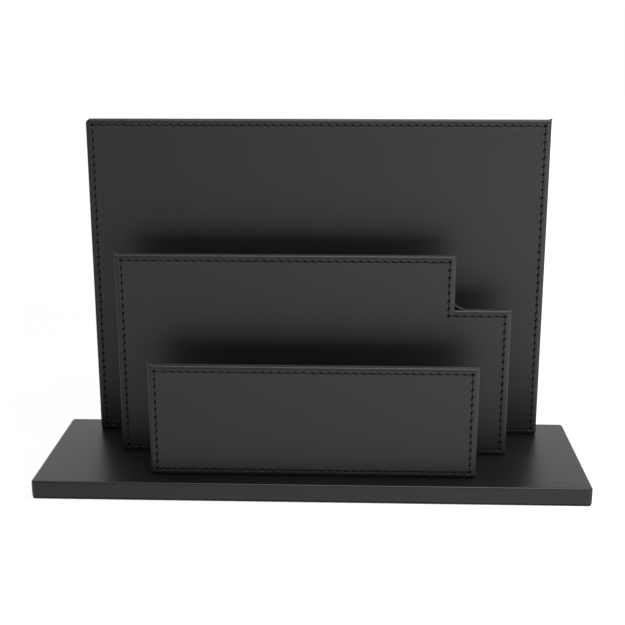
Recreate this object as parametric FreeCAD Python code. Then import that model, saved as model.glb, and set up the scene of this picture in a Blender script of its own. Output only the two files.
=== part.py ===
import FreeCAD, Part
import math
import os
from collections import namedtuple

# A magazine holder for a desk. Three upright panels, each taller than the one before it,
# stand in a row on a flat base, and magazines go in the two gaps between them. Each panel
# is a board between two leather sheets that are turned round its edge and sewn together.
# Lengths are in millimetres. The origin is the middle of the base's underside, +X is to
# the right, +Y goes from the lowest panel to the tallest, and +Z is up.

# Sheets and boards
leather = 1.0
panel_board_thickness = 5.0
base_board_thickness = 9.5
underside_thickness = 1.4

# Base
base_width = 380.0
base_margin = 15.0
base_corner_radius = 2.5
base_top_edge_radius = 1.2
base_low_edge_radius = 0.6
turned_under = 12.0
underside_inset = 0.2
underside_edge_radius = 0.5
window_clearance = 0.5

# Panels: heights are above the top of the base, and an offset is how far the panel's
# middle lies to the right of the base's middle
slot_width = 35.5
rear_width = 329.8
rear_height = 234.5
rear_offset = 1.8
middle_width = 276.4
middle_height = 145.5
middle_offset = 0.15
front_width = 223.2
front_height = 78.4
front_offset = 1.5

# The corner cut out of the middle panel, and the leather at its inner corner: the front
# sheet follows the corner closely, and the back sheet stretches across it
step_width = 39.3
step_drop = 38.4
front_web_radius = 1.0
back_web_radius = 5.0

# Edges of the leather sheets
panel_corner_radius = 1.6
panel_edge_radius = 1.2
panel_join_radius = 0.5

# Seam: it runs a little farther in from a panel's upright sides than from its level ones
seam_inset = 4.0
seam_side_inset = 4.5
stitch_pitch = 5.6
stitch_gap = 1.3
stitch_slant = 0.4
thread_radius = 0.45
channel_depth = 0.3
channel_clearance = 0.05

# Screws that hold the panels from below
screw_length = 25.0
screw_radius = 1.25
screw_core_radius = 0.9
screw_plain_length = 9.0
screw_thread_low_flank = 0.33
screw_thread_root = 0.33
screw_thread_high_flank = 0.44
screw_tip_length = 2.2
screw_head_radius = 2.5
screw_head_rim = 0.15
screw_slot_length = 2.8
screw_slot_width = 0.6
screw_slot_depth = 0.8
screw_clearance = 0.05
screw_end_inset = 30.0
pilot_spare_depth = 1.0

# How far a shape that cuts another runs on past the face that it opens, and by how many
# degrees a round hole's own seam is turned out of the plane where two sheets meet
cut_past = 1.0
hole_turn = 45.0

# Worked out from the sizes above
panel_thickness = panel_board_thickness + 2 * leather
base_depth = 2 * base_margin + 3 * panel_thickness + 2 * slot_width
base_board_bottom = underside_thickness + leather
base_board_top = base_board_bottom + base_board_thickness
base_top = base_board_top + leather
panel_spacing = slot_width + panel_thickness
channel_width = 2 * (thread_radius + channel_clearance) + stitch_slant
screw_thread_pitch = screw_thread_low_flank + screw_thread_root + screw_thread_high_flank

Panel = namedtuple("Panel", "name middle_y left right height step_width step_drop screws")
Corner = namedtuple("Corner", "x z hollow")

rear = Panel("rear_panel", panel_spacing, rear_offset - rear_width / 2,
             rear_offset + rear_width / 2, rear_height, 0, 0, 4)
middle = Panel("middle_panel", 0, middle_offset - middle_width / 2,
               middle_offset + middle_width / 2, middle_height, step_width, step_drop, 3)
front = Panel("front_panel", -panel_spacing, front_offset - front_width / 2,
              front_offset + front_width / 2, front_height, 0, 0, 3)

V = FreeCAD.Vector


def rounded_face(points, radii):
    """A flat face whose right-angled corners are rounded, each by its own radius."""
    edges = []
    ends = []
    for i, corner in enumerate(points):
        back = (points[i - 1] - corner).normalize()
        ahead = (points[(i + 1) % len(points)] - corner).normalize()
        radius = radii[i]
        ends.append((corner + back * radius, corner + ahead * radius))
        if radius > 0:
            bulge = corner + (back + ahead) * radius * (1 - math.sqrt(0.5))
            edges.append(Part.Arc(ends[-1][0], bulge, ends[-1][1]).toShape())
    for i in range(len(points)):
        start = ends[i][1]
        stop = ends[(i + 1) % len(points)][0]
        edges.append(Part.LineSegment(start, stop).toShape())
    return Part.Face(Part.Wire(Part.__sortEdges__(edges)))


def edges_in_plane(shape, axis, value):
    """The edges that lie in the plane where the given coordinate has the given value."""
    found = []
    for edge in shape.Edges:
        low = getattr(edge.BoundBox, axis + "Min")
        high = getattr(edge.BoundBox, axis + "Max")
        if abs(low - value) < 1e-4 and abs(high - value) < 1e-4:
            found.append(edge)
    return found


def base_slab(inset, bottom, top):
    """The base's outline, drawn in by inset, between two heights."""
    x = base_width / 2 - inset
    y = base_depth / 2 - inset
    points = [V(-x, -y, bottom), V(x, -y, bottom), V(x, y, bottom), V(-x, y, bottom)]
    radius = max(base_corner_radius - inset, 0)
    return rounded_face(points, [radius] * 4).extrude(V(0, 0, top - bottom))


def panel_corners(panel, inset, side_inset):
    """The corners of a panel's outline, seen from the front, drawn in by inset at its level
    sides and by side_inset at its upright ones."""
    left = panel.left + side_inset
    right = panel.right - side_inset
    bottom = base_top + inset
    top = base_top + panel.height - inset
    corners = [Corner(left, bottom, False), Corner(right, bottom, False)]
    if panel.step_width > 0:
        step_x = right - panel.step_width
        step_z = top - panel.step_drop
        corners += [Corner(right, step_z, False), Corner(step_x, step_z, True),
                    Corner(step_x, top, False)]
    else:
        corners.append(Corner(right, top, False))
    corners.append(Corner(left, top, False))
    return corners


def panel_slab(panel, inset, near, far, web_radius):
    """A panel's outline, drawn in by inset, from near to far behind its middle plane."""
    points = []
    radii = []
    for corner in panel_corners(panel, inset, inset):
        points.append(V(corner.x, panel.middle_y + near, corner.z))
        radii.append(web_radius + inset if corner.hollow else max(panel_corner_radius - inset, 0))
    return rounded_face(points, radii).extrude(V(0, far - near, 0))


def seam_slab(panel, farther, near, far):
    """As panel_slab, with sharp corners and a given way farther in than the seam, for the
    channel that the seam lies in."""
    corners = panel_corners(panel, seam_inset + farther, seam_side_inset + farther)
    points = [V(c.x, panel.middle_y + near, c.z) for c in corners]
    return rounded_face(points, [0] * len(points)).extrude(V(0, far - near, 0))


def screw_places(panel):
    """Where the screws stand along a panel, evenly spaced between its end insets."""
    first = panel.left + screw_end_inset
    last = panel.right - screw_end_inset
    gap = (last - first) / (panel.screws - 1)
    return [V(first + i * gap, panel.middle_y, base_board_bottom) for i in range(panel.screws)]


def screw_hole(place, length):
    """A round hole for one screw, upwards from its head."""
    hole = Part.makeCylinder(screw_radius + screw_clearance, length, place)
    hole.rotate(place, V(0, 0, 1), hole_turn)
    return hole


def screw_holes(length):
    """Holes for every screw of every panel, as long as is asked."""
    holes = []
    for panel in (rear, middle, front):
        holes += [screw_hole(place, length) for place in screw_places(panel)]
    return holes


def pilot_holes(panel):
    """The holes that a panel's screws go up into, with some depth to spare."""
    length = screw_length + pilot_spare_depth
    return [screw_hole(place, length) for place in screw_places(panel)]


def turned(points):
    """A solid turned about the upright axis from its half section."""
    path = [V(r, 0, z) for r, z in points]
    section = Part.Face(Part.makePolygon(path + path[:1]))
    return section.revolve(V(0, 0, 0), V(0, 0, 1), 360)


def screw_head():
    """The countersunk head, as deep as it is wider than the shank."""
    cone = screw_head_rim + screw_head_radius - screw_radius
    return turned([(0, 0), (screw_head_radius, 0), (screw_head_radius, screw_head_rim),
                   (screw_radius, cone), (0, cone)])


def screw():
    """A countersunk wood screw, head down, with a crossed slot and a ringed thread."""
    head_height = screw_head_rim + screw_head_radius - screw_radius
    point = screw_length - screw_tip_length
    turns = int((point - screw_plain_length) / screw_thread_pitch)
    outline = [(0, head_height / 2), (screw_radius, head_height / 2),
               (screw_radius, screw_plain_length)]
    for i in range(turns):
        crest = screw_plain_length + i * screw_thread_pitch
        root = crest + screw_thread_low_flank
        outline.append((screw_core_radius, root))
        outline.append((screw_core_radius, root + screw_thread_root))
        outline.append((screw_radius, crest + screw_thread_pitch))
    outline += [(screw_core_radius, point), (0, screw_length)]
    solid = turned(outline).fuse(screw_head()).removeSplitter()
    half = screw_slot_length / 2
    thin = screw_slot_width / 2
    bar = Part.makeBox(screw_slot_length, screw_slot_width, screw_slot_depth, V(-half, -thin, 0))
    cross = Part.makeBox(screw_slot_width, screw_slot_length, screw_slot_depth, V(-thin, -half, 0))
    return solid.cut([bar, cross])


def make_screws(panel):
    """All the screws under one panel, their heads level with the base board's underside."""
    solids = []
    for place in screw_places(panel):
        copy = screw()
        copy.translate(place)
        solids.append(copy)
    return Part.makeCompound(solids)


def make_base_board():
    """The base's wooden board, countersunk from below."""
    board = base_slab(leather, base_board_bottom, base_board_top)
    tools = screw_holes(base_board_thickness + cut_past)
    for panel in (rear, middle, front):
        for place in screw_places(panel):
            head = screw_head()
            head.translate(place)
            tools.append(head)
    return board.cut(tools)


def make_base_leather():
    """The sheet over the base's top and sides, turned in under the board."""
    sheet = base_slab(0, underside_thickness, base_top)
    sheet = sheet.makeFillet(base_top_edge_radius, edges_in_plane(sheet, "Z", base_top))
    sheet = sheet.makeFillet(base_low_edge_radius, edges_in_plane(sheet, "Z", underside_thickness))
    inside = base_slab(leather, base_board_bottom, base_board_top)
    window = base_slab(turned_under, underside_thickness - cut_past, base_board_bottom + cut_past)
    holes = screw_holes(base_top - base_board_bottom + cut_past)
    return sheet.cut([inside, window] + holes)


def make_underside():
    """The soft sheet under the base: its field fills the window in the turned-in leather."""
    sheet = base_slab(underside_inset, 0, underside_thickness)
    sheet = sheet.makeFillet(underside_edge_radius, edges_in_plane(sheet, "Z", 0))
    field = base_slab(turned_under + window_clearance, underside_thickness, base_board_bottom)
    return sheet.fuse(field).removeSplitter()


def make_panel_board(panel):
    """The stiff board inside a panel."""
    half = panel_board_thickness / 2
    board = panel_slab(panel, leather, -half, half, front_web_radius)
    return board.cut(pilot_holes(panel))


def make_panel_leather(panel, side, web_radius):
    """One sheet: side is -1 for the front one and 1 for the back one. Its turned edge
    reaches the middle of the panel's thickness, where it meets the other sheet's."""
    outer = side * panel_thickness / 2
    inner = side * panel_board_thickness / 2
    floor = outer - side * channel_depth
    face_plane = panel.middle_y + outer
    sheet = panel_slab(panel, 0, 0, outer, web_radius)
    sheet = sheet.makeFillet(panel_edge_radius, edges_in_plane(sheet, "Y", face_plane))
    sheet = sheet.makeFillet(panel_join_radius, edges_in_plane(sheet, "Y", panel.middle_y))
    past = side * cut_past
    inside = panel_slab(panel, leather, -past, inner, web_radius)
    channel = seam_slab(panel, -channel_width / 2, floor, outer + past)
    island = seam_slab(panel, channel_width / 2, floor - past, outer + 2 * past)
    return sheet.cut([inside, channel.cut(island)] + pilot_holes(panel))


def stitch(length, side):
    """One stitch along X, flat on its seat, its round back facing the given side."""
    top = V(0, side * thread_radius, 0)
    ends = [V(0, 0, thread_radius), V(0, 0, -thread_radius)]
    arch = Part.Arc(ends[0], top, ends[1]).toShape()
    seat = Part.LineSegment(ends[1], ends[0]).toShape()
    bar = Part.Face(Part.Wire([arch, seat])).extrude(V(length, 0, 0))
    bar.translate(V(-length / 2, 0, 0))
    return bar


def make_stitches(panel, side):
    """The stitches on one face: as many to a side of the seam as fit at the set pitch."""
    seat_y = panel.middle_y + side * (panel_thickness / 2 - channel_depth)
    corners = panel_corners(panel, seam_inset, seam_side_inset)
    solids = []
    for i, start in enumerate(corners):
        stop = corners[(i + 1) % len(corners)]
        run = math.hypot(stop.x - start.x, stop.z - start.z)
        count = round(run / stitch_pitch)
        pitch = run / count
        length = pitch - stitch_gap
        heading = math.atan2(stop.z - start.z, stop.x - start.x)
        lean = math.asin(stitch_slant / length)
        bar = stitch(length, side)
        bar.rotate(V(0, 0, 0), V(0, 1, 0), -math.degrees(heading + lean))
        for k in range(count):
            share = (k + 0.5) / count
            x = start.x + (stop.x - start.x) * share
            z = start.z + (stop.z - start.z) * share
            copy = bar.copy()
            copy.translate(V(x, seat_y, z))
            solids.append(copy)
    return Part.makeCompound(solids)


nodes = {
    "base_board": make_base_board(),
    "base_leather": make_base_leather(),
    "base_underside": make_underside(),
}
for panel in (rear, middle, front):
    nodes[panel.name + "_board"] = make_panel_board(panel)
    nodes[panel.name + "_front_leather"] = make_panel_leather(panel, -1, front_web_radius)
    nodes[panel.name + "_back_leather"] = make_panel_leather(panel, 1, back_web_radius)
    nodes[panel.name + "_front_stitches"] = make_stitches(panel, -1)
    nodes[panel.name + "_back_stitches"] = make_stitches(panel, 1)
    nodes[panel.name + "_screws"] = make_screws(panel)

os.makedirs("parts", exist_ok=True)
for name, shape in nodes.items():
    shape.exportStep("parts/" + name + ".step")
    print(name, len(shape.Solids), "solids", round(shape.Volume, 1), "mm3",
          "valid" if shape.isValid() else "NOT VALID")
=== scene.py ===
import math
import random

import bpy
import numpy as np
from mathutils import Matrix, Vector, noise
from mathutils.geometry import delaunay_2d_cdt


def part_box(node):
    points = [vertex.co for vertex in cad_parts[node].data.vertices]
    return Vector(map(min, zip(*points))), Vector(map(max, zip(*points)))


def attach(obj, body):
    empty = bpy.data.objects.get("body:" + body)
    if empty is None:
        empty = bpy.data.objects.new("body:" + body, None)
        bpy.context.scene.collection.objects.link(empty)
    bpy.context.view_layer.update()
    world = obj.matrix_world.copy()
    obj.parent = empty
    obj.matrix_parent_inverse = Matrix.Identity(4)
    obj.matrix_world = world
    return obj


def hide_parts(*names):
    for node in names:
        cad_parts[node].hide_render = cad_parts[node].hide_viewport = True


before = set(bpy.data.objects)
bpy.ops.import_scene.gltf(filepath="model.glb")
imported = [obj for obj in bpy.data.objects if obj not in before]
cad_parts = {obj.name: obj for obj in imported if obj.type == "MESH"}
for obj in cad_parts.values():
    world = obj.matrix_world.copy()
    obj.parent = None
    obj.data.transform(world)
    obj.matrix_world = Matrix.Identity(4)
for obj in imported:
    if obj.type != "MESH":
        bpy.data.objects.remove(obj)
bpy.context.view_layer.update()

# The boards. Raw brown fibreboard stiffens the base and each upright panel. They are sawn to
# size and drilled, and no part of them shows once the leather is on.
mm = 0.001
board_brown = (0.36, 0.24, 0.14, 1)
board_dark = (0.27, 0.17, 0.09, 1)
board_roughness = 0.85
board_fibres_per_metre = 900
board_clumps_per_metre = 120
board_fibre_depth = 0.15 * mm


def node_maker(material):
    """Clears a material's nodes and gives back a function that adds one and its links."""
    material.use_nodes = True
    tree = material.node_tree
    tree.nodes.clear()

    def add(kind, settings=None, values=None, links=None):
        node = tree.nodes.new(kind)
        for name, value in (settings or {}).items():
            setattr(node, name, value)
        for name, value in (values or {}).items():
            node.inputs[name].default_value = value
        for name, socket in (links or {}).items():
            tree.links.new(socket, node.inputs[name])
        return node

    return add


def pressed_fibre():
    """Fibreboard: short matted fibres in two browns, quite matt."""
    material = bpy.data.materials.new("pressed_fibre")
    add = node_maker(material)
    place = add("ShaderNodeTexCoord")
    fibres = add("ShaderNodeTexNoise",
                 values={"Scale": board_fibres_per_metre, "Detail": 5, "Roughness": 0.7},
                 links={"Vector": place.outputs["Object"]})
    clumps = add("ShaderNodeTexNoise", values={"Scale": board_clumps_per_metre, "Detail": 3},
                 links={"Vector": place.outputs["Object"]})
    both = add("ShaderNodeMath", {"operation": "MULTIPLY_ADD"},
               links={0: fibres.outputs["Fac"], 1: clumps.outputs["Fac"], 2: clumps.outputs["Fac"]})
    colour = add("ShaderNodeMix", {"data_type": "RGBA"}, links={"Factor": both.outputs[0]})
    colour.inputs["A"].default_value = board_dark
    colour.inputs["B"].default_value = board_brown
    rough = add("ShaderNodeBump", values={"Strength": 0.4, "Distance": board_fibre_depth},
                links={"Height": fibres.outputs["Fac"]})
    surface = add("ShaderNodeBsdfPrincipled", values={"Roughness": board_roughness},
                  links={"Base Color": colour.outputs["Result"], "Normal": rough.outputs["Normal"]})
    add("ShaderNodeOutputMaterial", links={"Surface": surface.outputs["BSDF"]})
    return material


def finish_node(name, material):
    """Gives a node of the frame its finish."""
    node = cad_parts[name]
    node.data.materials.clear()
    node.data.materials.append(material)


fibreboard = pressed_fibre()
for name in ("base_board", "rear_panel_board", "middle_panel_board", "front_panel_board"):
    finish_node(name, fibreboard)

# The base's leather. One smooth black sheet is glued over the top and the sides of the base
# board and turned in under it. Its top edge is pulled tight and shines in a thin, uneven line.
# Its colour is the panels' leather painted about half as dark: painted shade for the base
# below the panels.
# Painted shade: the base's copy of the leather is darker than the panels' own.
base_shade_black = (0.0032, 0.0032, 0.0029, 1)
base_shade_worn_black = (0.0046, 0.0046, 0.0042, 1)
tight_roughness = (0.34, 0.40)
tight_shine = 0.48
worn_patches_per_metre = 14
pebbles_per_metre = 1500
pores_per_metre = 2600
pore_share = 0.35
grain_depth = 0.03 * mm
leather_thickness = 1.0 * mm
turned_under = 12.0 * mm
base_corner = 2.5 * mm
least_corner = 0.3 * mm
corner_steps = 6
corner_place = 0.01
base_top_edge = 1.0 * mm
low_edge_height = 0.35 * mm
low_edge_depth = 0.35 * mm
base_side_swell = 0.05 * mm
edge_pull = 0.08 * mm
near_edge_pull = 0.04 * mm
near_edge_insets = (2.0 * mm, 3.5 * mm)
short_pull_wave = 9 * mm
long_pull_wave = 40 * mm
base_sag = 0.05 * mm
base_sag_wave = 60 * mm
base_edge_spacing = 2.0 * mm
base_field_edge = 8.0 * mm
base_field_edge_spacing = 7.0 * mm
base_field_inset = 14.0 * mm
base_field_spacing = 8.0 * mm


def finished_leather(name, black, worn_black, roughness, shine):
    """Finished black leather: a fine pebbled grain under a satin finish. Its roughness lies
    between the two that are given, and is highest where the colour is worn."""
    material = bpy.data.materials.new(name)
    add = node_maker(material)
    place = add("ShaderNodeTexCoord")
    wear = add("ShaderNodeTexNoise", values={"Scale": worn_patches_per_metre, "Detail": 2},
               links={"Vector": place.outputs["Object"]})
    pebbles = add("ShaderNodeTexVoronoi", {"feature": "SMOOTH_F1"},
                  {"Scale": pebbles_per_metre, "Smoothness": 0.6}, {"Vector": place.outputs["Object"]})
    pores = add("ShaderNodeTexNoise", values={"Scale": pores_per_metre, "Detail": 3},
                links={"Vector": place.outputs["Object"]})
    height = add("ShaderNodeMath", {"operation": "MULTIPLY_ADD"},
                 {1: pore_share}, {0: pores.outputs["Fac"], 2: pebbles.outputs["Distance"]})
    colour = add("ShaderNodeMix", {"data_type": "RGBA"}, links={"Factor": wear.outputs["Fac"]})
    colour.inputs["A"].default_value = black
    colour.inputs["B"].default_value = worn_black
    gloss = add("ShaderNodeMapRange", values={"To Min": roughness[0], "To Max": roughness[1]},
                links={"Value": wear.outputs["Fac"]})
    grain = add("ShaderNodeBump", values={"Strength": 0.25, "Distance": grain_depth},
                links={"Height": height.outputs[0]})
    surface = add("ShaderNodeBsdfPrincipled", values={"Specular IOR Level": shine},
                  links={"Base Color": colour.outputs["Result"], "Roughness": gloss.outputs["Result"],
                         "Normal": grain.outputs["Normal"]})
    add("ShaderNodeOutputMaterial", links={"Surface": surface.outputs["BSDF"]})
    return material


# The base's copy of the leather, darker as painted shade.
base_shaded_leather = finished_leather("base_shaded_leather", base_shade_black, base_shade_worn_black, tight_roughness,
                                 tight_shine)


def even_shares(corners, spacing):
    """For each side of an outline, shares of its length at about the given spacing."""
    shares = []
    for i, corner in enumerate(corners):
        length = np.linalg.norm(corners[(i + 1) % len(corners)] - corner)
        count = max(2, round(length / spacing))
        shares.append((np.arange(count) + 0.5) / count)
    return shares


def ring(corners, insets, bends, shares):
    """Points round an outline of right angles, with each side drawn in by its inset and with
    bent corners. A bend is how far it reaches back from the corner and ahead of it, and how
    flat it is. With each point comes its place round the outline, counted in sides, so that
    rings can be joined."""
    count = len(corners)
    insets = np.broadcast_to(insets, count)
    along = []
    for i in range(count):
        step = corners[(i + 1) % count] - corners[i]
        along.append(step / np.linalg.norm(step))
    inward = [np.array((-step[1], step[0])) for step in along]
    points = []
    places = []
    for i in range(count):
        corner = corners[i] + insets[i - 1] * inward[i - 1] + insets[i] * inward[i]
        back, ahead, flat = bends[i]
        for k in range(corner_steps + 1):
            share = k / corner_steps
            turn = math.pi / 2 * share
            forward = ahead * ((1 - flat) * (1 - math.cos(turn)) + flat * share)
            behind = back * ((1 - flat) * (1 - math.sin(turn)) + flat * (1 - share))
            points.append(corner + forward * along[i] - behind * along[i - 1])
            places.append(i + 2 * corner_place * (share - 0.5))
        after = (i + 1) % count
        next_corner = corners[after] + insets[i] * inward[i] + insets[after] * inward[after]
        start = corner + ahead * along[i]
        stop = next_corner - bends[after][0] * along[i]
        for share in shares[i]:
            points.append(start + share * (stop - start))
            places.append(i + corner_place + (1 - 2 * corner_place) * share)
    return np.array(points), np.array(places)


def round_bend(radius):
    """An evenly rounded corner."""
    return (radius, radius, 0.0)


def joined_rings(first, first_places, second, second_places, sides):
    """Triangles between two rings that have different numbers of points."""
    faces = []
    i = 0
    j = 0
    n = len(first)
    m = len(second)
    while i < n or j < m:
        next_i = first_places[(i + 1) % n] + (sides if i + 1 >= n else 0)
        next_j = second_places[(j + 1) % m] + (sides if j + 1 >= m else 0)
        if j >= m or (i < n and next_i <= next_j):
            faces.append((first[i % n], first[(i + 1) % n], second[j % m]))
            i += 1
        else:
            faces.append((first[i % n], second[(j + 1) % m], second[j % m]))
            j += 1
    return faces


def filled_rim(rim, flat, first_inside):
    """Triangles over a rim and over the scattered points that lie inside it."""
    sources = rim + list(range(first_inside, len(flat)))
    spots = [Vector(flat[i]) for i in sources]
    only_inside = 1
    same_spot = 1e-7
    filled = delaunay_2d_cdt(spots, [], [list(range(len(rim)))], only_inside, same_spot)
    triangles = filled[2]
    origins = [sources[origin[0]] for origin in filled[3]]
    return [tuple(origins[i] for i in triangle) for triangle in triangles]


def skin(name, rings, to_space, sides, field, flip, material):
    """A closed skin through a row of rings round an outline with that many sides. The first
    ring is closed flat, and the last one by triangles over the scattered points of the field,
    if it has any. A ring is its points, its places and the height of each point."""
    flat = []
    heights = []
    faces = []
    numbers = []
    for points, places, height in rings:
        numbers.append(list(range(len(flat), len(flat) + len(points))))
        flat.extend(points)
        heights.extend(np.broadcast_to(height, len(points)))
    faces.append(tuple(reversed(numbers[0])))
    for k in range(len(rings) - 1):
        a = numbers[k]
        b = numbers[k + 1]
        if len(a) == len(b):
            for i in range(len(a)):
                j = (i + 1) % len(a)
                faces.append((a[i], a[j], b[j], b[i]))
        else:
            faces += joined_rings(a, rings[k][1], b, rings[k + 1][1], sides)
    rim = numbers[-1]
    if field is None:
        faces.append(tuple(rim))
    else:
        inside, inside_heights = field
        first_inside = len(flat)
        flat.extend(inside)
        heights.extend(inside_heights)
        faces += filled_rim(rim, flat, first_inside)
    if flip:
        faces = [tuple(reversed(face)) for face in faces]
    mesh = bpy.data.meshes.new(name)
    mesh.from_pydata(to_space(np.array(flat), np.array(heights)).tolist(), [], faces)
    mesh.polygons.foreach_set("use_smooth", [True] * len(mesh.polygons))
    mesh.materials.append(material)
    mesh.update()
    piece = bpy.data.objects.new(name, mesh)
    bpy.context.scene.collection.objects.link(piece)
    return piece


def ripple(points, wavelength, height, seed):
    """Gentle unevenness over a surface, the same each time."""
    values = [noise.noise(Vector((p[0] / wavelength, p[1] / wavelength, seed))) for p in points]
    return height * np.array(values)


def scattered(corners, inset, spacing):
    """Points in even rows over an outline of right angles, at least inset from its edge and
    from the corner that is cut out of a stepped one."""
    low = np.min(corners, axis=0) + inset
    high = np.max(corners, axis=0) - inset
    notch = corners[3] - inset if len(corners) == 6 else high
    rows = []
    for z in np.linspace(low[1], high[1], max(2, round((high[1] - low[1]) / spacing))):
        for x in np.linspace(low[0], high[0], max(2, round((high[0] - low[0]) / spacing))):
            if x <= notch[0] or z <= notch[1]:
                rows.append((x, z))
    return np.array(rows)


def base_corners(low, high):
    """The base's outline seen from above, from its front left corner."""
    return [np.array(c) for c in ((low.x, low.y), (high.x, low.y), (high.x, high.y), (low.x, high.y))]


def flat_in_space(points, heights):
    """Points of the base's outline, at their heights."""
    return np.column_stack((points[:, 0], points[:, 1], heights))


leather_low, leather_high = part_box("base_leather")
board_low, board_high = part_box("base_board")
outline = base_corners(leather_low, leather_high)
fine = even_shares(outline, base_edge_spacing)


def base_ring(inset, height, unevenness=0.0):
    """One ring of the base's leather."""
    bend = round_bend(max(base_corner - inset, least_corner))
    points, places = ring(outline, inset, [bend] * 4, fine)
    pull = ripple(points, short_pull_wave, unevenness, seed=3.1)
    pull = pull + ripple(points, long_pull_wave, unevenness, seed=7.7)
    return points, places, height + pull


top = leather_high.z
bottom = leather_low.z
rings = [
    base_ring(leather_thickness, board_high.z),
    base_ring(leather_thickness, board_low.z),
    base_ring(turned_under, board_low.z),
    base_ring(turned_under, bottom),
]
for degrees in (0, 22, 45, 67, 90):
    turn = math.radians(degrees)
    level = bottom + low_edge_height * (1 - math.cos(turn))
    rings.append(base_ring(low_edge_depth * (1 - math.sin(turn)), level))
for share in (0.25, 0.5, 0.75):
    level = bottom + low_edge_height + share * (top - bottom - low_edge_height - base_top_edge)
    rings.append(base_ring(-base_side_swell, level))
for degrees in (0, 15, 30, 45, 60, 75, 90):
    turn = math.radians(degrees)
    level = top - base_top_edge * (1 - math.sin(turn))
    rings.append(base_ring(base_top_edge * (1 - math.cos(turn)), level, edge_pull))
for inset in near_edge_insets:
    rings.append(base_ring(inset, top, near_edge_pull))
coarse = even_shares(outline, base_field_edge_spacing)
points, places = ring(outline, base_field_edge, [round_bend(least_corner)] * 4, coarse)
rings.append((points, places, top + ripple(points, base_sag_wave, base_sag, seed=5.0)))
spots = scattered(outline, base_field_inset, base_field_spacing)
field = (spots, top + ripple(spots, base_sag_wave, base_sag, seed=5.0))
base_cover = skin("base_cover", rings, flat_in_space, 4, field, False, base_shaded_leather)
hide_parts("base_leather")
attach(base_cover, "root")

# The underside. A soft black cloth on a thin backing is glued on from below, over the screws,
# so that the base doesn't scratch the desk. Its edge is lower than its middle, which leaves a
# dark groove all round under the leather.
cloth_black = (0.045, 0.045, 0.047, 1)
cloth_grey = (0.070, 0.070, 0.073, 1)
cloth_roughness = 0.9
cloth_sheen = 0.15
nap_per_metre = 1800
weave_per_metre = 420
nap_depth = 0.12 * mm
cloth_setback = 0.1 * mm
cloth_corner = 2.3 * mm
cloth_edge = 0.3 * mm
cloth_spacing = 5.0 * mm
groove_height = 0.65 * mm
groove_depth = 1.4 * mm
groove_round = 0.12 * mm
window_clearance = 0.5 * mm


def brushed_cloth():
    """Brushed cloth: a short matt nap over a close weave."""
    material = bpy.data.materials.new("brushed_cloth")
    add = node_maker(material)
    place = add("ShaderNodeTexCoord")
    nap = add("ShaderNodeTexNoise", values={"Scale": nap_per_metre, "Detail": 4, "Roughness": 0.7},
              links={"Vector": place.outputs["Object"]})
    weave = add("ShaderNodeTexWave", {"bands_direction": "DIAGONAL"},
                {"Scale": weave_per_metre, "Distortion": 1.5, "Detail": 1},
                {"Vector": place.outputs["Object"]})
    both = add("ShaderNodeMath", {"operation": "MULTIPLY_ADD"},
               {1: 0.3}, {0: weave.outputs["Fac"], 2: nap.outputs["Fac"]})
    colour = add("ShaderNodeMix", {"data_type": "RGBA"}, links={"Factor": both.outputs[0]})
    colour.inputs["A"].default_value = cloth_black
    colour.inputs["B"].default_value = cloth_grey
    fuzz = add("ShaderNodeBump", values={"Strength": 0.5, "Distance": nap_depth},
               links={"Height": both.outputs[0]})
    surface = add("ShaderNodeBsdfPrincipled",
                  values={"Roughness": cloth_roughness, "Sheen Weight": cloth_sheen},
                  links={"Base Color": colour.outputs["Result"], "Normal": fuzz.outputs["Normal"]})
    add("ShaderNodeOutputMaterial", links={"Surface": surface.outputs["BSDF"]})
    return material


cloth_low, cloth_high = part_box("base_underside")
outline = base_corners(cloth_low, cloth_high)
fine = even_shares(outline, cloth_spacing)


def cloth_ring(inset, height):
    """One ring of the underside."""
    bend = round_bend(max(cloth_corner - inset, least_corner))
    points, places = ring(outline, inset + cloth_setback, [bend] * 4, fine)
    return points, places, height


seat = leather_low.z
window = turned_under + window_clearance - cloth_setback
edge_level = seat - groove_height
rings = [
    cloth_ring(window, cloth_high.z),
    cloth_ring(window, seat),
    cloth_ring(groove_depth, seat),
    cloth_ring(groove_depth, edge_level + groove_round),
    cloth_ring(groove_depth - groove_round, edge_level),
    cloth_ring(groove_round, edge_level),
    cloth_ring(0, edge_level - groove_round),
]
for degrees in (0, 22, 45, 67, 90):
    turn = math.radians(degrees)
    rings.append(cloth_ring(cloth_edge * (1 - math.cos(turn)), cloth_edge * (1 - math.sin(turn))))
underside = skin("underside_cloth", rings, flat_in_space, 4, None, True, brushed_cloth())
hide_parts("base_underside")
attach(underside, "root")

# The panels' leather. Each panel has a front and a back sheet of the same leather, glued to
# the board and turned round its edge as far as the middle, where their cut edges meet in a
# thin groove. Its folded corners stand out a little. Deep inside the needle slits the leather
# is painted near-black and matt: painted shade in the holes.
leather_black = (0.0062, 0.0063, 0.0057, 1)
leather_worn_black = (0.0090, 0.0091, 0.0083, 1)
leather_roughness = (0.44, 0.50)
leather_shine = 0.475
# Painted shade: the near-black, almost shineless finish deep inside the needle slits.
slit_shade_black = (0.0016, 0.0016, 0.0015, 1)
slit_shade_worn_black = (0.0026, 0.0026, 0.0024, 1)
slit_shade_roughness = (0.85, 0.95)
slit_shade_shine = 0.05
panels = ("rear_panel", "middle_panel", "front_panel")
panel_sheets = [(panel, face) for panel in panels for face in ("front", "back")]
step_width = 39.3 * mm
step_drop = 38.4 * mm

# The turned edge: a roll towards each face, and a thin groove where the sheets meet
join_edge = 0.55 * mm
roll_width = 2.4 * mm
roll_depth = 1.5 * mm
roll_wobble = 0.06 * mm
side_swell = 0.10 * mm
side_wobble = 0.05 * mm
wobble_wave = 22 * mm
swing_wave = 30 * mm
swing_share = 0.5

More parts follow.
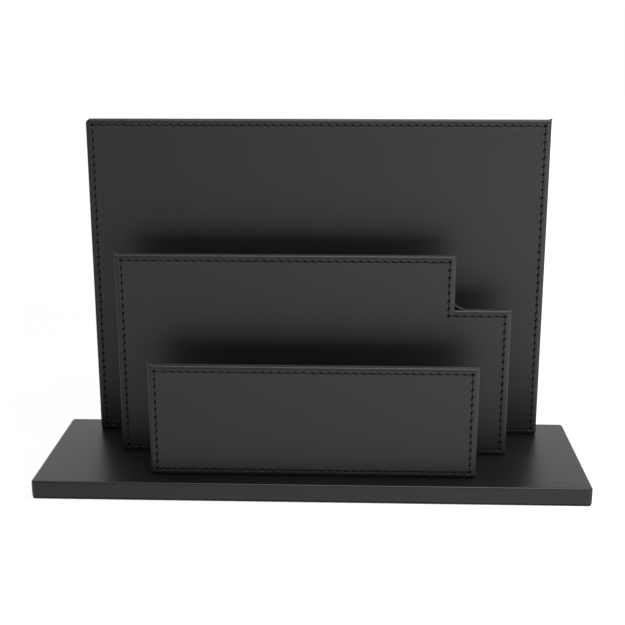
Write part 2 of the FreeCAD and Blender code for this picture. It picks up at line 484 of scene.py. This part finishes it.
# Corners: a bend reaches back and ahead, and has a flatness. A web is the leather that
# stretches across the step's inner corner, and an ear is the fold at a corner near the top.
panel_corner = 1.6 * mm
corner_draw = 0.5
roll_corner = 0.9 * mm
worn_corner = (2.6 * mm, 2.6 * mm, 0.4)
worn_corner_draw = 1.4
webs = {"front": (1.0 * mm, 1.0 * mm, 0.0), "back": (8.0 * mm, 4.5 * mm, 0.5)}
ears = {"front": 0.6 * mm, "back": 2.0 * mm}
ear_width = 0.75 * mm
ear_depth = 0.6 * mm
ear_depth_reach = 0.9 * mm
ear_inward_reach = 4 * mm
top_corner_share = 0.9

# The seam's channel between two soft lips, and the slanted needle slits with their rims
seam_inset = 4.0 * mm
seam_side_inset = 4.5 * mm
seam_zone = 2.6 * mm
stitch_pitch = 5.6 * mm
channel_depth = 0.09 * mm
channel_reach = 0.55 * mm
lip_rise = 0.06 * mm
lip_offset = 1.15 * mm
lip_reach = 0.6 * mm
slit_length = 3.2 * mm
slit_width = 1.4 * mm
slit_depth = 0.78 * mm
slit_steepness = 1.6
slit_slant = math.radians(32)
slit_zone = 1.8 * mm
# How far below the face a needle slit's painted shade begins.
slit_shade_depth = 0.25 * mm
rim_rise = 0.12 * mm
rim_place = 1.35
rim_reach = 0.4
rim_fade = 0.4 * mm

# How close the points lie: across the seam, along it round each needle hole, and elsewhere
half_seam_rows = np.array((0.08, 0.24, 0.4, 0.56, 0.74, 0.95, 1.25)) * mm
seam_rows = np.concatenate((-half_seam_rows[::-1], half_seam_rows))
hole_offsets = np.concatenate((seam_rows, np.array((2.0, 2.8, 3.6)) * mm))
edge_spacing = 1.4 * mm
face_spacing = 9.0 * mm
inner_insets = (5.9 * mm, 7.0 * mm)
face_edge = 12.0 * mm
face_inset = 19.0 * mm
face_sag = 0.12 * mm
face_sag_wave = 70 * mm


def panel_outline(low, high, stepped):
    """A panel's outline seen from the front, from its bottom left corner."""
    corners = [(low.x, low.z), (high.x, low.z)]
    if stepped:
        corners += [(high.x, high.z - step_drop), (high.x - step_width, high.z - step_drop),
                    (high.x - step_width, high.z)]
    else:
        corners.append((high.x, high.z))
    corners.append((low.x, high.z))
    return [np.array(c) for c in corners]


def zone_share(inset):
    """How far a ring has come from the edge to the seam, from 0 to 1."""
    return min(max(inset / seam_zone, 0), 1)


def side_insets(corners, inset):
    """How far each side of a ring lies in. The seam, and the leather near it, lie a little
    farther in from a panel's upright sides than from its level ones."""
    insets = []
    for i, corner in enumerate(corners):
        upright = abs(corners[(i + 1) % len(corners)][0] - corner[0]) < mm
        insets.append(inset + (seam_side_inset - seam_inset) * zone_share(inset) * upright)
    return insets


def seam_sides(corners):
    """For each side of the seam: where it starts, which way it runs, the way out to the edge,
    how many stitches it has and how long each is."""
    insets = side_insets(corners, seam_inset)
    points, _ = ring(corners, insets, [round_bend(0)] * len(corners), [[]] * len(corners))
    turns = points[::corner_steps + 1]
    sides = []
    for i, start in enumerate(turns):
        run = turns[(i + 1) % len(turns)] - start
        length = np.linalg.norm(run)
        heading = run / length
        count = round(length / stitch_pitch)
        sides.append((start, heading, np.array((heading[1], -heading[0])), count, length / count))
    return sides


def seam_shares(sides):
    """Shares of each side of the seam, closest together round each needle hole."""
    shares = []
    for start, heading, outward, count, pitch in sides:
        length = count * pitch
        around = hole_offsets * pitch / stitch_pitch
        spots = np.concatenate([around + k * pitch for k in range(count + 1)])
        spots = np.sort(spots[(spots > least_corner * 1.1) & (spots < length - least_corner * 1.1)])
        shares.append((spots - least_corner) / (length - 2 * least_corner))
    return shares


def channel_relief(inset):
    """How far the leather stands above its plain face at this distance from the edge: a
    pressed channel between two soft lips."""
    across = inset - seam_inset
    channel = channel_depth * np.exp(-(across / channel_reach) ** 2)
    lips = lip_rise * np.exp(-((abs(across) - lip_offset) / lip_reach) ** 2)
    return lips - channel


def seam_relief(points, inset, sides):
    """The same at each point of a ring, with a slanted needle slit at each end of a stitch. A
    slit's inner side has a raised rim."""
    height = np.full(len(points), channel_relief(inset))
    if abs(inset - seam_inset) > slit_zone:
        return height
    for start, heading, outward, count, pitch in sides:
        away = points - start
        along = away @ heading
        aside = away @ outward
        hole = np.clip(np.round(along / pitch), 0, count)
        along = along - hole * pitch
        long_way = along * math.cos(slit_slant) + aside * math.sin(slit_slant)
        short_way = aside * math.cos(slit_slant) - along * math.sin(slit_slant)
        reach = np.hypot(long_way / (slit_length / 2), short_way / (slit_width / 2))
        height -= slit_depth * np.clip(slit_steepness * (1 - reach), 0, 1)
        inner_side = np.clip(-short_way / rim_fade, 0, 1)
        height += rim_rise * inner_side * np.exp(-((reach - rim_place) / rim_reach) ** 2)
    return height


def hollow_corner(corners, i):
    """True at the inner corner of a step."""
    back = corners[i] - corners[i - 1]
    ahead = corners[(i + 1) % len(corners)] - corners[i]
    return back[0] * ahead[1] - back[1] * ahead[0] < 0


def eared_corner(corners, i, worn):
    """True at a corner near the top that sticks out. The rear panel's top left one is worn
    smooth and has no ear."""
    if hollow_corner(corners, i) or (worn and i == len(corners) - 1):
        return False
    middle_height = np.mean([corner[1] for corner in corners])
    return corners[i][1] >= middle_height * top_corner_share


def sheet_bends(corners, inset, web, worn):
    """The bend of each corner of a ring. A hollow one narrows from the web at the edge to the
    least corner at the seam. The others start rounded at the edge, and the rear panel's top
    left one is worn down further."""
    bends = []
    for i in range(len(corners)):
        if hollow_corner(corners, i):
            share = zone_share(inset) ** 2
            back, ahead, flat = web
            bends.append(((back + inset) * (1 - share) + least_corner * share,
                          (ahead + inset) * (1 - share) + least_corner * share, flat * (1 - share)))
        elif inset > seam_zone:
            bends.append(round_bend(least_corner))
        elif worn and i == len(corners) - 1:
            back, ahead, flat = worn_corner
            drawn = worn_corner_draw * inset
            bends.append((max(back - drawn, roll_corner), max(ahead - drawn, roll_corner), flat))
        else:
            bends.append(round_bend(max(panel_corner - corner_draw * inset, roll_corner)))
    return bends


def with_ears(points, corners, depth, ear, worn):
    """Pushes the folded leather out at the corners that have ears, most near the join."""
    moved = points.copy()
    for i, corner in enumerate(corners):
        if not eared_corner(corners, i, worn):
            continue
        way = corner - (corners[i - 1] + corners[(i + 1) % len(corners)]) / 2
        way = np.sign(way) / math.sqrt(2)
        away = points - corner
        aside = away @ np.array((-way[1], way[0]))
        bell = np.exp(-(aside / ear_width) ** 2)
        bell = bell * np.exp(-((depth - ear_depth) / ear_depth_reach) ** 2)
        bell *= (away @ way > -ear_inward_reach)
        moved += np.outer(ear * bell, way)
    return moved


def make_sheet(panel, face, seed):
    """One sheet of a panel: face is front or back. Gives what its seam needs: the seam's
    sides, where the panel's middle lies, which way the face looks and the sheet's depth."""
    node = panel + "_" + face + "_leather"
    low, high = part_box(node)
    side = -1 if face == "front" else 1
    middle_y = high.y if face == "front" else low.y
    thickness = high.y - low.y
    corners = panel_outline(low, high, panel == "middle_panel")
    sides = seam_sides(corners)
    web = webs[face]
    worn = panel == "rear_panel"
    fine = seam_shares(sides)
    plain = even_shares(corners, edge_spacing)
    coarse = even_shares(corners, face_spacing)
    rows = []

    def lay(inset, depth, shares, relief=0.0, wobble=0.0):
        bends = sheet_bends(corners, inset, web, worn)
        points, places = ring(corners, side_insets(corners, inset), bends, shares)
        height = depth + relief
        if wobble:
            height = height + ripple(points, wobble_wave, wobble, seed)
            swing = ripple(points, swing_wave, wobble, seed + 9)
            middle = np.mean(corners, axis=0)
            points = points + np.sign(points - middle) * swing[:, None] * swing_share
        if inset < roll_width / 2:
            points = with_ears(points, corners, depth, ears[face], worn)
        rows.append((points, places, height))

    lay(leather_thickness, thickness - leather_thickness, coarse)
    lay(leather_thickness, 0, coarse)
    for degrees in (0, 30, 60, 90):
        turn = math.radians(degrees)
        lay(join_edge * (1 - math.sin(turn)), join_edge * (1 - math.cos(turn)), plain)
    for share in (0.3, 0.7):
        depth = join_edge + share * (thickness - join_edge - roll_depth)
        lay(-side_swell, depth, plain, wobble=side_wobble)
    for degrees in (0, 12, 24, 36, 48, 60, 72, 82, 90):
        turn = math.radians(degrees)
        inset = roll_width * (1 - math.cos(turn))
        depth = thickness - roll_depth * (1 - math.sin(turn))
        lay(inset, depth, plain, channel_relief(inset), roll_wobble * math.cos(turn))
    before_seam = sum(len(row[0]) for row in rows)
    for across in seam_rows:
        inset = seam_inset + across
        bends = sheet_bends(corners, inset, web, worn)
        points, places = ring(corners, side_insets(corners, inset), bends, fine)
        rows.append((points, places, thickness + seam_relief(points, inset, sides)))
    after_seam = sum(len(row[0]) for row in rows)
    for inset in inner_insets:
        lay(inset, thickness, plain, channel_relief(inset))
    bends = sheet_bends(corners, face_edge, web, worn)
    points, places = ring(corners, face_edge, bends, coarse)
    rows.append((points, places, thickness + ripple(points, face_sag_wave, face_sag, seed)))
    spots = scattered(corners, face_inset, face_spacing)
    field = (spots, thickness + ripple(spots, face_sag_wave, face_sag, seed))

    def to_space(points, depths):
        return np.column_stack((points[:, 0], middle_y + side * depths, points[:, 1]))

    sheet = skin(panel + "_" + face + "_sheet", rows, to_space, len(corners), field,
                 face == "back", leather)
    # The deep parts of the needle slits get the near-black painted-shade finish.
    sheet.data.materials.append(slit_shade_leather)
    in_slit_shade = [thickness - abs(point.co.y - middle_y) > slit_shade_depth for point in sheet.data.vertices]
    for polygon in sheet.data.polygons:
        if all(before_seam <= v < after_seam and in_slit_shade[v] for v in polygon.vertices):
            polygon.material_index = 1
    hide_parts(node)
    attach(sheet, "root")
    return sides, middle_y, side, thickness


leather = finished_leather("leather", leather_black, leather_worn_black, leather_roughness,
                           leather_shine)
# Painted shade for the insides of the needle slits.
slit_shade_leather = finished_leather("slit_shade_leather", slit_shade_black, slit_shade_worn_black, slit_shade_roughness, slit_shade_shine)
seam_lines = {}
for number, (panel, face) in enumerate(panel_sheets):
    seam_lines[panel, face] = make_sheet(panel, face, seed=10.0 * number + 1.5)

# The seams. Each panel is sewn right through, 4 mm inside its edge, with a black waxed
# thread. The needle cuts slanted slits, and each stitch runs from one slit down into the next.
thread_black = (0.006, 0.006, 0.006, 1)
thread_grey = (0.013, 0.013, 0.013, 1)
thread_roughness = 0.6
thread_shine = 0.12
thread_fibres_per_metre = 5000
thread_fibre_depth = 0.04 * mm
thread_radius = 0.42 * mm
thread_sides = 9
thread_steps = 12
thread_plies = 3
ply_depth = 0.13
ply_twist = 2.6
end_taper = 0.2
stitch_end = 0.45 * mm
stitch_bow = 0.26 * mm
stitch_sink = 0.20 * mm
stitch_dive = 0.75 * mm
dive_power = 5
stitch_shift = 0.05 * mm
stitch_lift = 0.03 * mm


def waxed_thread():
    """Black thread: fine fibres along a tight twist, with a low waxy sheen."""
    material = bpy.data.materials.new("waxed_thread")
    add = node_maker(material)
    place = add("ShaderNodeTexCoord")
    fibres = add("ShaderNodeTexNoise", values={"Scale": thread_fibres_per_metre, "Detail": 3},
                 links={"Vector": place.outputs["Object"]})
    colour = add("ShaderNodeMix", {"data_type": "RGBA"}, links={"Factor": fibres.outputs["Fac"]})
    colour.inputs["A"].default_value = thread_black
    colour.inputs["B"].default_value = thread_grey
    fuzz = add("ShaderNodeBump", values={"Strength": 0.3, "Distance": thread_fibre_depth},
               links={"Height": fibres.outputs["Fac"]})
    surface = add("ShaderNodeBsdfPrincipled",
                  values={"Roughness": thread_roughness, "Specular IOR Level": thread_shine},
                  links={"Base Color": colour.outputs["Result"], "Normal": fuzz.outputs["Normal"]})
    add("ShaderNodeOutputMaterial", links={"Surface": surface.outputs["BSDF"]})
    return material


def stitch_shape(pitch, dice):
    """Rings of points along one stitch, as lengths along, across and above the seam. It bows
    across the seam and dives into a slit at both ends, and no two lie quite alike."""
    rows = []
    phase = dice.uniform(0, math.tau)
    shift = dice.uniform(-stitch_shift, stitch_shift)
    lift = dice.uniform(-stitch_lift, stitch_lift)
    for k in range(thread_steps + 1):
        share = k / thread_steps
        towards_end = 2 * share - 1
        along = stitch_end + share * (pitch - 2 * stitch_end)
        across = stitch_bow * math.cos(math.pi * share) + shift
        above = -stitch_sink + lift - stitch_dive * abs(towards_end) ** dive_power
        steepness = stitch_dive * 2 * dive_power * abs(towards_end) ** (dive_power - 1) / pitch
        tilt = math.atan(-steepness * math.copysign(1, towards_end))
        size = thread_radius * (1 - end_taper * abs(towards_end) ** 3)
        row = []
        for n in range(thread_sides):
            turn = math.tau * n / thread_sides
            twist = thread_plies * (turn - phase) + share * pitch / mm * ply_twist
            out = size * (1 - ply_depth * (1 - math.cos(twist)))
            rise = out * math.sin(turn)
            row.append((along - rise * math.sin(tilt), across + out * math.cos(turn),
                        above + rise * math.cos(tilt)))
        rows.append(row)
    return np.array(rows)


def make_seam(panel, face, seed):
    """All the stitches on one face of a panel."""
    sides, middle_y, side, thickness = seam_lines[panel, face]
    dice = random.Random(seed)
    points = []
    faces = []
    for start, heading, outward, count, pitch in sides:
        for k in range(count):
            rows = stitch_shape(pitch, dice)
            first = len(points)
            foot = start + heading * pitch * k
            for along, across, above in rows.reshape(-1, 3):
                x, z = foot + heading * along + outward * across
                points.append((x, middle_y + side * (thickness + above), z))
            for r in range(thread_steps):
                for n in range(thread_sides):
                    a = first + r * thread_sides + n
                    b = first + r * thread_sides + (n + 1) % thread_sides
                    faces.append((a, b, b + thread_sides, a + thread_sides))
            faces.append(tuple(range(first, first + thread_sides))[::-1])
            last = first + thread_steps * thread_sides
            faces.append(tuple(range(last, last + thread_sides)))
    if side < 0:
        faces = [corners[::-1] for corners in faces]
    name = panel + "_" + face + "_seam"
    mesh = bpy.data.meshes.new(name)
    mesh.from_pydata(points, [], faces)
    mesh.polygons.foreach_set("use_smooth", [True] * len(mesh.polygons))
    mesh.materials.append(thread)
    mesh.update()
    seam = bpy.data.objects.new(name, mesh)
    bpy.context.scene.collection.objects.link(seam)
    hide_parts(panel + "_" + face + "_stitches")
    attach(seam, "root")


thread = waxed_thread()
for number, (panel, face) in enumerate(panel_sheets):
    make_seam(panel, face, seed=number)

# The screws. Zinc-plated wood screws go up through the base board into each panel's board,
# their heads sunk level with the wood and covered by the underside.
zinc_grey = (0.56, 0.55, 0.52, 1)
zinc_dull = (0.44, 0.43, 0.41, 1)
zinc_roughness = (0.25, 0.45)
zinc_clouds_per_metre = 500


def plated_steel():
    """Zinc plate, with cloudy dull patches."""
    material = bpy.data.materials.new("plated_steel")
    add = node_maker(material)
    place = add("ShaderNodeTexCoord")
    cloud = add("ShaderNodeTexNoise", values={"Scale": zinc_clouds_per_metre, "Detail": 3},
                links={"Vector": place.outputs["Object"]})
    colour = add("ShaderNodeMix", {"data_type": "RGBA"}, links={"Factor": cloud.outputs["Fac"]})
    colour.inputs["A"].default_value = zinc_grey
    colour.inputs["B"].default_value = zinc_dull
    gloss = add("ShaderNodeMapRange", values={"To Min": zinc_roughness[0], "To Max": zinc_roughness[1]},
                links={"Value": cloud.outputs["Fac"]})
    surface = add("ShaderNodeBsdfPrincipled", values={"Metallic": 1.0},
                  links={"Base Color": colour.outputs["Result"], "Roughness": gloss.outputs["Result"]})
    add("ShaderNodeOutputMaterial", links={"Surface": surface.outputs["BSDF"]})
    return material


zinc = plated_steel()
for panel in panels:
    finish_node(panel + "_screws", zinc)

# The table that the holder stands on: a wide sheet of pale paper that glows. To the camera it
# is white, with the holder's own soft shadow left on it. To the holder it is a painted light,
# brighter on the right and out in front than on the left, and dimmer close by as painted shade.
table_size = 6.0
paper_white = (0.92, 0.92, 0.92, 1)
shadow_share = 0.12
shadow_reach = 0.8
shadow_core_share = 0.25
# Painted light: how strongly the paper glows from left to right, and from out in front to close by,
# where it is dimmer as painted shade.
glow_left = 0.95
glow_right = 2.15
glow_half_width = 0.4
glow_out_in_front = 1.2
painted_shade_glow_close_by = 0.66
out_in_front = -0.75
close_by = -0.1


def glowing_paper():
    """Pale paper that glows: white to the camera and a painted light to everything else, dimmer
    close to the holder as painted shade. Near the holder it also shows the holder's shadow.
    """
    material = bpy.data.materials.new("glowing_pale_paper")
    add = node_maker(material)
    paper = add("ShaderNodeBsdfDiffuse", values={"Color": paper_white})
    spot = add("ShaderNodeTexCoord")
    parts = add("ShaderNodeSeparateXYZ", links={"Vector": spot.outputs["Object"]})
    sideways = add("ShaderNodeMapRange",
                   values={"From Min": -glow_half_width, "From Max": glow_half_width,
                           "To Min": glow_left, "To Max": glow_right},
                   links={"Value": parts.outputs["X"]})
    inward = add("ShaderNodeMapRange",
                 values={"From Min": out_in_front, "From Max": close_by,
                         "To Min": glow_out_in_front, "To Max": painted_shade_glow_close_by},
                 links={"Value": parts.outputs["Y"]})
    glow = add("ShaderNodeMath", {"operation": "MULTIPLY"},
               links={0: sideways.outputs["Result"], 1: inward.outputs["Result"]})
    seen = add("ShaderNodeLightPath")
    white_or_glow = add("ShaderNodeMath", {"operation": "MAXIMUM"},
                        links={0: glow.outputs[0], 1: seen.outputs["Is Camera Ray"]})
    light = add("ShaderNodeEmission", values={"Color": (1, 1, 1, 1)},
                links={"Strength": white_or_glow.outputs[0]})
    distance = add("ShaderNodeVectorMath", {"operation": "LENGTH"}, links={0: spot.outputs["Object"]})
    light_share = add("ShaderNodeMapRange", {"interpolation_type": "SMOOTHSTEP"},
                      {"From Min": shadow_core_share * shadow_reach, "From Max": shadow_reach,
                       "To Min": 1 - shadow_share},
                      {"Value": distance.outputs["Value"]})
    surface = add("ShaderNodeMixShader",
                  links={0: light_share.outputs["Result"], 1: paper.outputs[0], 2: light.outputs[0]})
    add("ShaderNodeOutputMaterial", links={"Surface": surface.outputs[0]})
    return material


mesh = bpy.data.meshes.new("table")
half = table_size / 2
mesh.from_pydata([(-half, -half, 0), (half, -half, 0), (half, half, 0), (-half, half, 0)], [],
                 [(0, 1, 2, 3)])
mesh.materials.append(glowing_paper())
table = bpy.data.objects.new("table", mesh)
bpy.context.scene.collection.objects.link(table)

# The light: a room that is bright behind the holder and dim in front of it and high up, a wide
# soft box overhead, and a smaller one that stands in front, to the right.
room_back = 1.36
room_front = 0.04
room_high_share = 0.42
room_tint = (0.985, 0.99, 1.0, 1)
front_from = -0.3
back_from = 0.5
low_up_to = 0.24
high_from = 0.42


def light_room():
    """The room's light, from every side. The camera itself sees plain white."""
    world = bpy.data.worlds.new("room")
    bpy.context.scene.world = world
    add = node_maker(world)
    direction = add("ShaderNodeTexCoord")
    parts = add("ShaderNodeSeparateXYZ", links={0: direction.outputs["Generated"]})
    front_to_back = add("ShaderNodeMapRange", {"interpolation_type": "SMOOTHSTEP"},
                        {"From Min": front_from, "From Max": back_from,
                         "To Min": room_front, "To Max": room_back},
                        {"Value": parts.outputs["Y"]})
    low_to_high = add("ShaderNodeMapRange",
                      values={"From Min": low_up_to, "From Max": high_from,
                              "To Min": 1.0, "To Max": room_high_share},
                      links={"Value": parts.outputs["Z"]})
    strength = add("ShaderNodeMath", {"operation": "MULTIPLY"},
                   links={0: front_to_back.outputs["Result"], 1: low_to_high.outputs["Result"]})
    room = add("ShaderNodeBackground", values={"Color": room_tint},
               links={"Strength": strength.outputs[0]})
    white = add("ShaderNodeBackground", values={"Color": (1, 1, 1, 1), "Strength": 1.0})
    seen = add("ShaderNodeLightPath")
    choice = add("ShaderNodeMixShader",
                 links={0: seen.outputs["Is Camera Ray"], 1: room.outputs[0], 2: white.outputs[0]})
    add("ShaderNodeOutputWorld", links={"Surface": choice.outputs[0]})


def soft_box(name, place, target, width, height, brightness):
    """A rectangular soft light that faces the target, as bright as a white surface times
    brightness."""
    lamp = bpy.data.lights.new(name, "AREA")
    lamp.shape = "RECTANGLE"
    lamp.size = width
    lamp.size_y = height
    lamp.energy = brightness * math.pi * width * height
    box = bpy.data.objects.new(name, lamp)
    box.location = place
    box.rotation_euler = (Vector(target) - Vector(place)).to_track_quat("-Z", "Y").to_euler()
    bpy.context.scene.collection.objects.link(box)


light_room()
soft_box("overhead_box", place=(0.4, -0.35, 1.5), target=(0.1, 0, 0.1), width=1.9, height=1.3,
         brightness=4.4)
soft_box("right_box", place=(1.0, -0.95, 0.38), target=(0, 0, 0.2), width=0.7, height=0.9,
         brightness=2.0)

# The camera stands a little right of the middle and looks slightly down, as in the
# photograph. Its frame is 36 mm wide.
camera_place = (28.34 * mm, -774.16 * mm, 326.05 * mm)
camera_turn = math.radians(2.106)
camera_dip = math.radians(15.099)
camera_roll = math.radians(-0.072)
lens = bpy.data.cameras.new("camera")
lens.sensor_width = 36
lens.lens = 65.81
camera = bpy.data.objects.new("camera", lens)
camera.matrix_world = (Matrix.Translation(camera_place) @ Matrix.Rotation(camera_turn, 4, "Z")
                       @ Matrix.Rotation(math.pi / 2 - camera_dip, 4, "X")
                       @ Matrix.Rotation(camera_roll, 4, "Z"))
bpy.context.scene.collection.objects.link(camera)
bpy.context.scene.camera = camera
bpy.context.scene.view_settings.view_transform = "Standard"
